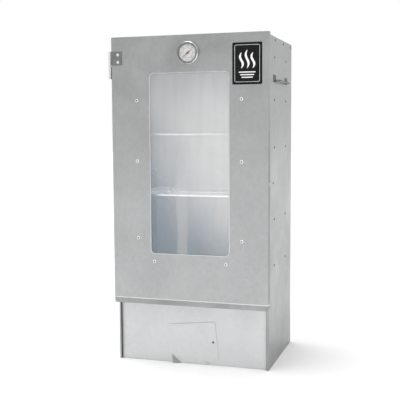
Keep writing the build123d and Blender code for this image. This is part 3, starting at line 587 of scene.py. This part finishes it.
def rounded(cx, cz, width, height, radius, steps=8):
    """A rounded rectangle's (x, z) outline, counter-clockwise seen from -Y."""
    points = []
    for quarter, (sx, sz) in enumerate(((1, 1), (-1, 1), (-1, -1), (1, -1))):
        for k in range(steps + 1):
            angle = math.radians(90 * (quarter + k / steps))
            points.append((cx + sx * (width / 2 - radius) + radius * math.cos(angle),
                           cz + sz * (height / 2 - radius) + radius * math.sin(angle)))
    return points


def circle(cx, cz, radius, steps=48):
    """A circle's (x, z) outline, counter-clockwise seen from -Y."""
    angles = [2 * math.pi * k / steps for k in range(steps)]
    return [(cx + radius * math.cos(a), cz + radius * math.sin(a)) for a in angles]


# ---------------------------------------------------------------- badge
def wisp(cx, z0, z1, sway, width, steps=22):
    """A rising wavy stroke's outline, thin at both ends."""
    left, right = [], []
    for k in range(steps + 1):
        t = k / steps
        x = cx + sway * math.sin(2 * math.pi * t)
        half = width * (0.18 + 0.82 * math.sin(math.pi * t) ** 0.7) / 2
        left.append((x - half, z0 + (z1 - z0) * t))
        right.append((x + half, z0 + (z1 - z0) * t))
    return left, right


def make_badge():
    """A black plate with a fine border and a plain sign for heat over a grate."""
    low, high = BADGE
    cx, cz = (low.x + high.x) / 2, (low.z + high.z) / 2
    width, height = high.x - low.x, high.z - low.z
    corner, edge = 4 * MM, 0.25 * MM
    outline = rounded(cx, cz, width, height, corner)
    face = rounded(cx, cz, width - 2 * edge, height - 2 * edge, corner - edge)
    plate = Shape()
    plate.plate(outline, high.y, low.y + edge)
    plate.prism(at_depth(outline, low.y + edge), at_depth(face, low.y))
    made = piece("badge", plate, LOOKS["badge_black"], "door")
    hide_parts("badge_plate")

    art = Shape()
    front, behind = low.y - 2 * PRINT, low.y + PRINT
    inset, line, corner = 7 * MM, 0.9 * MM, 5 * MM
    outer = rounded(cx, cz, width - 2 * inset, height - 2 * inset, corner)
    inner = rounded(cx, cz, width - 2 * (inset + line), height - 2 * (inset + line), corner - line)
    art.ring(outer, inner, behind, front)
    apart, foot, top, step, sway, stroke = 17 * MM, 14 * MM, 38 * MM, 7 * MM, 4.2 * MM, 7.5 * MM
    for k in (-1, 0, 1):
        left, right = wisp(cx + apart * k, cz - foot, cz + top - step * abs(k), sway, stroke)
        for a in range(len(left) - 1):
            art.plate([left[a], right[a], right[a + 1], left[a + 1]], behind, front)
    bar_drop, bar_pitch = 25 * MM, 7.5 * MM
    bar_width, bar_step, bar_height, bar_corner = 50 * MM, 8 * MM, 3.2 * MM, 1.5 * MM
    for k in range(3):
        bar_z = cz - bar_drop - bar_pitch * k
        art.plate(rounded(cx, bar_z, bar_width - bar_step * k, bar_height, bar_corner), behind, front)
    piece("badge_art", art, print_ink("badge_ink", grey(0.94)), "door")


# ---------------------------------------------------------------- rivets' broken mandrels
def solids_in(name):
    """The lowest and highest corner of each separate solid in a node."""
    mesh = NODES[name].data
    owner = list(range(len(mesh.vertices)))

    def find(index):
        while owner[index] != index:
            owner[index] = owner[owner[index]]
            index = owner[index]
        return index

    for edge in mesh.edges:
        owner[find(edge.vertices[0])] = find(edge.vertices[1])
    groups = {}
    for vertex in mesh.vertices:
        groups.setdefault(find(vertex.index), []).append(vertex.co)
    return [(Vector(map(min, *group)), Vector(map(max, *group))) for group in groups.values()]


def make_mandrels(name, body):
    """A stub of the pulled mandrel in the middle of each rivet's dome, near-black as painted shade of
    the rivet's hole.
    """
    stubs = Shape()
    for low, high in solids_in(name):
        middle, size = (low + high) / 2, high - low
        round_from_side = abs(size.x - size.z) > 0.1 * MM and abs(size.y - size.z) < 0.1 * MM
        if round_from_side:
            side = 1 if middle.x > 0 else -1
            face = Vector((high.x if side > 0 else low.x, middle.y, middle.z))
            out, right = Vector((side, 0, 0)), Vector((0, side, 0))
        else:
            face = Vector((middle.x, low.y, middle.z))
            out, right = Vector((0, -1, 0)), Vector((1, 0, 0))
        rim = [right * x + Vector((0, 0, z)) for x, z in circle(0, 0, MANDREL_R, MANDREL_SIDES)]
        behind, front = face - out * MANDREL_DEPTH, face + out * MANDREL_PROUD
        stubs.prism([behind + spot for spot in rim], [front + spot for spot in rim])
    piece(name + "_mandrels", stubs, MANDREL_SHADE_LOOK, body)


# ---------------------------------------------------------------- the window's cut edge and its painted highlight
def make_window_edge():
    """A near-white ring round the opening that was cut in the door for the glass: the cut edge's painted
    highlight.
    """
    low, high = GLASS
    cx, cz = (low.x + high.x) / 2, (low.z + high.z) / 2
    width = high.x - low.x - 2 * GLASS_SIDE_LAP
    height = high.z - low.z - 2 * GLASS_END_LAP
    corner, rim, proud = 13 * MM, 1.3 * MM, 0.3 * MM
    inner = rounded(cx, cz, width, height, corner)
    outer = rounded(cx, cz, width + 2 * rim, height + 2 * rim, corner + rim)
    edge = Shape()
    edge.ring(outer, inner, DOOR_FRONT + proud, DOOR_FRONT - proud)
    # near white: painted highlight of the cut edge
    edge_highlight = Look("edge_highlight_look", metallic=0.35)
    nicks = edge_highlight.noise(180.0)
    edge_highlight.put("Base Color", edge_highlight.mix(nicks, grey(0.95), (0.84, 0.84, 0.85)))
    edge_highlight.put("Roughness", edge_highlight.spread(nicks, 0.28, 0.42))
    piece("window_edge", edge, edge_highlight.material, "door")


# ---------------------------------------------------------------- printed numbers and marks
def lettering(text, height, centre, right, up):
    """Vertices and faces of a short generic text, centred on a point in a plane."""
    curve = bpy.data.curves.new("figures", "FONT")
    curve.body = text
    curve.size = height / CAPITAL_SHARE
    curve.align_x, curve.align_y = "CENTER", "CENTER"
    holder = new_object("figures", curve)
    bpy.context.view_layer.update()
    mesh = holder.to_mesh()
    spots = [centre + right * v.co.x + up * v.co.y for v in mesh.vertices]
    faces = [list(p.vertices) for p in mesh.polygons]
    holder.to_mesh_clear()
    bpy.data.objects.remove(holder)
    bpy.data.curves.remove(curve)
    return spots, faces


def make_dial_print():
    """Ticks, an inner ring and figures round the thermometer's dial."""
    x, z, y = DIAL_CENTRE.x, DIAL_CENTRE.z, DIAL[0].y
    printed = y - 2 * PRINT
    marks = Shape()
    for outer_r, inner_r in ((15.7 * MM, 14.9 * MM), (27.4 * MM, 27.0 * MM)):
        marks.ring(circle(x, z, outer_r), circle(x, z, inner_r), y, printed)
    tick_end, ticks_apart = 27.2 * MM, DIAL_TICKS // (DIAL_FIGURES - 1)
    for k in range(DIAL_TICKS + 1):
        tick_start, half = (23.2 * MM, 0.55 * MM) if k % ticks_apart == 0 else (25.2 * MM, 0.22 * MM)
        angle = math.radians(DIAL_START + DIAL_SWEEP * k / DIAL_TICKS)
        out = Vector((math.sin(angle), math.cos(angle)))
        side = Vector((out.y, -out.x)) * half
        near, far = out * tick_start, out * tick_end
        corners = (far - side, far + side, near + side, near - side)
        marks.plate([(x + c.x, z + c.y) for c in corners], y, printed)
    piece("dial_marks", marks, LOOKS["pointer_black"], "door")

    lens_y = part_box("thermometer_lens")[0].y
    # a black rubber ring where the gap between dial and bezel lies in shade: painted shade
    gasket_out, gasket_in, gasket_proud = 27.6 * MM, 26.5 * MM, 0.5 * MM
    gasket = Shape()
    gasket.ring(circle(x, z, gasket_out), circle(x, z, gasket_in), lens_y + PRINT, lens_y - gasket_proud)
    piece("thermometer_shade_gasket", gasket, LOOKS["seal_rubber"], "door")

    right, upwards = Vector((1, 0, 0)), Vector((0, 0, 1))
    figure_r, figure_height = 19.6 * MM, 3.3 * MM
    figures = Shape()
    for k in range(DIAL_FIGURES):
        angle = math.radians(DIAL_START + DIAL_SWEEP * k / (DIAL_FIGURES - 1))
        centre = Vector((x + figure_r * math.sin(angle), printed, z + figure_r * math.cos(angle)))
        figures.join(*lettering(str(DIAL_STEP * k), figure_height, centre, right, upwards))
    piece("dial_figures", figures, LOOKS["pointer_black"], "door")


def make_control_print():
    """A scale of figures round the thermostat's knob, and the rocker's two marks, on the back."""
    to_left, upwards = Vector((-1, 0, 0)), Vector((0, 0, 1))
    knob_low, knob_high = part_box("thermostat_knob")
    shaft_rise, scale_r, figure_height = 17 * MM, 23 * MM, 4.2 * MM
    x, z = (knob_low.x + knob_high.x) / 2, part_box("thermostat")[0].z + shaft_rise
    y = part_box("back_panel")[1].y + 2 * PRINT
    figures = Shape()
    for k in range(7):
        angle = math.radians(45 * k)
        centre = Vector((x - scale_r * math.sin(angle), y, z + scale_r * math.cos(angle)))
        figures.join(*lettering(str(k), figure_height, centre, to_left, upwards))
    piece("thermostat_scale", figures, print_ink("scale_ink", grey(0.02)), "cabinet")

    low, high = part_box("switch_rocker")
    tilt, mark_rise, mark_height = math.radians(ROCKER_TILT), 6.0 * MM, 4.0 * MM
    normal = Vector((0, math.cos(tilt), -math.sin(tilt)))
    up = Vector((0, math.sin(tilt), math.cos(tilt)))
    top = Vector(((low.x + high.x) / 2, high.y, high.z))
    face = top - up * ROCKER_HALF + normal * 2 * PRINT
    marks = Shape()
    for text, rise in (("I", mark_rise), ("O", -mark_rise)):
        marks.join(*lettering(text, mark_height, face + up * rise, to_left, up))
    piece("rocker_marks", marks, print_ink("rocker_ink", grey(0.85)), "power_rocker")


# ---------------------------------------------------------------- studio
def make_floor():
    look = Look("floor_look", roughness=0.85)
    specks = look.noise(1.2, detail=2.0)
    look.put("Base Color", look.mix(specks, grey(FLOOR_TONE), grey(FLOOR_TONE + 0.02)))
    half = FLOOR_SIZE / 2
    corners = [(-half, -half, 0), (half, -half, 0), (half, half, 0), (-half, half, 0)]
    mesh = bpy.data.meshes.new("floor")
    mesh.from_pydata(corners, [], [(0, 1, 2, 3)])
    floor = new_object("floor", mesh)
    floor.location.z = -FLOOR_DROP
    mesh.materials.append(look.material)


def make_sky():
    """Pale surroundings, darker on the viewer's side and to the right so that the metal has form.

    The camera itself sees them white all round.
    """
    world = bpy.data.worlds.new("surroundings")
    bpy.context.scene.world = world
    world.use_nodes = True
    sky = Nodes(world.node_tree)
    direction = sky.add("ShaderNodeTexCoord").outputs["Generated"]

    def fade(axis, ends, low, high):
        return sky.spread(sky.part(direction, axis), low, high, *ends, smooth=True)

    level = sky.math("MULTIPLY", fade("Y", FRONT_FADE, SKY_FRONT, SKY_BEHIND),
                     fade("X", RIGHT_FADE, 1.0, SKY_RIGHT))
    level = sky.math("MAXIMUM", level, fade("Z", ABOVE_FADE, 0.0, SKY_ABOVE))
    seen = sky.math("MAXIMUM", level, sky.add("ShaderNodeLightPath").outputs["Is Camera Ray"])
    background = sky.tree.nodes["Background"]
    sky.feed(background.inputs["Strength"], seen)
    sky.feed(background.inputs["Color"], grey(1.0))


def add_light(kind, name, place, target, power):
    """A light that the camera doesn't see, aimed from one place at another."""
    data = bpy.data.lights.new(name, kind)
    data.energy = power
    lamp = new_object(name, data)
    lamp.location = place
    lamp.rotation_euler = (Vector(target) - Vector(place)).to_track_quat("-Z", "Y").to_euler()
    lamp.visible_camera = False
    return data


def make_lights():
    sun = add_light("SUN", "overhead", SUN_PLACE, (0.0, 0.0, 0.0), SUN_STRENGTH)
    sun.angle = math.radians(SUN_SPREAD)
    key = add_light("AREA", "key", KEY_PLACE, KEY_TARGET, KEY_POWER)
    key.size = KEY_SIZE
    low, high = GLASS
    middle = (low + high) / 2
    place = Vector((middle.x, INSIDE_Y, middle.z))
    inside = add_light("AREA", "window_fill", place, place + Vector((0, 1, 0)), INSIDE_POWER)
    inside.shape = "RECTANGLE"
    inside.size, inside.size_y = INSIDE_SIZE


def make_camera():
    data = bpy.data.cameras.new("camera")
    data.lens = CAMERA_LENS
    data.sensor_width = SENSOR_WIDTH
    camera = new_object("camera", data)
    turn = (Matrix.Rotation(math.radians(CAMERA_YAW), 4, "Z")
            @ Matrix.Rotation(math.radians(90 - CAMERA_PITCH), 4, "X")
            @ Matrix.Rotation(math.radians(CAMERA_ROLL), 4, "Z"))
    camera.matrix_world = Matrix.Translation(CAMERA_PLACE) @ turn
    bpy.context.scene.camera = camera
    bpy.context.scene.view_settings.view_transform = "Standard"


# ---------------------------------------------------------------- build the scene
dress_nodes()
soften(("thermostat_knob", "switch_frame", "switch_rocker", "power_inlet"), 0.4 * MM)
make_badge()
make_window_edge()
for rivets, rides_on in (("door_rivets", "door"), ("side_rivets_right", "cabinet"),
                         ("side_rivets_left", "cabinet")):
    make_mandrels(rivets, rides_on)
make_dial_print()
make_control_print()
make_floor()
make_sky()
make_lights()
make_camera()
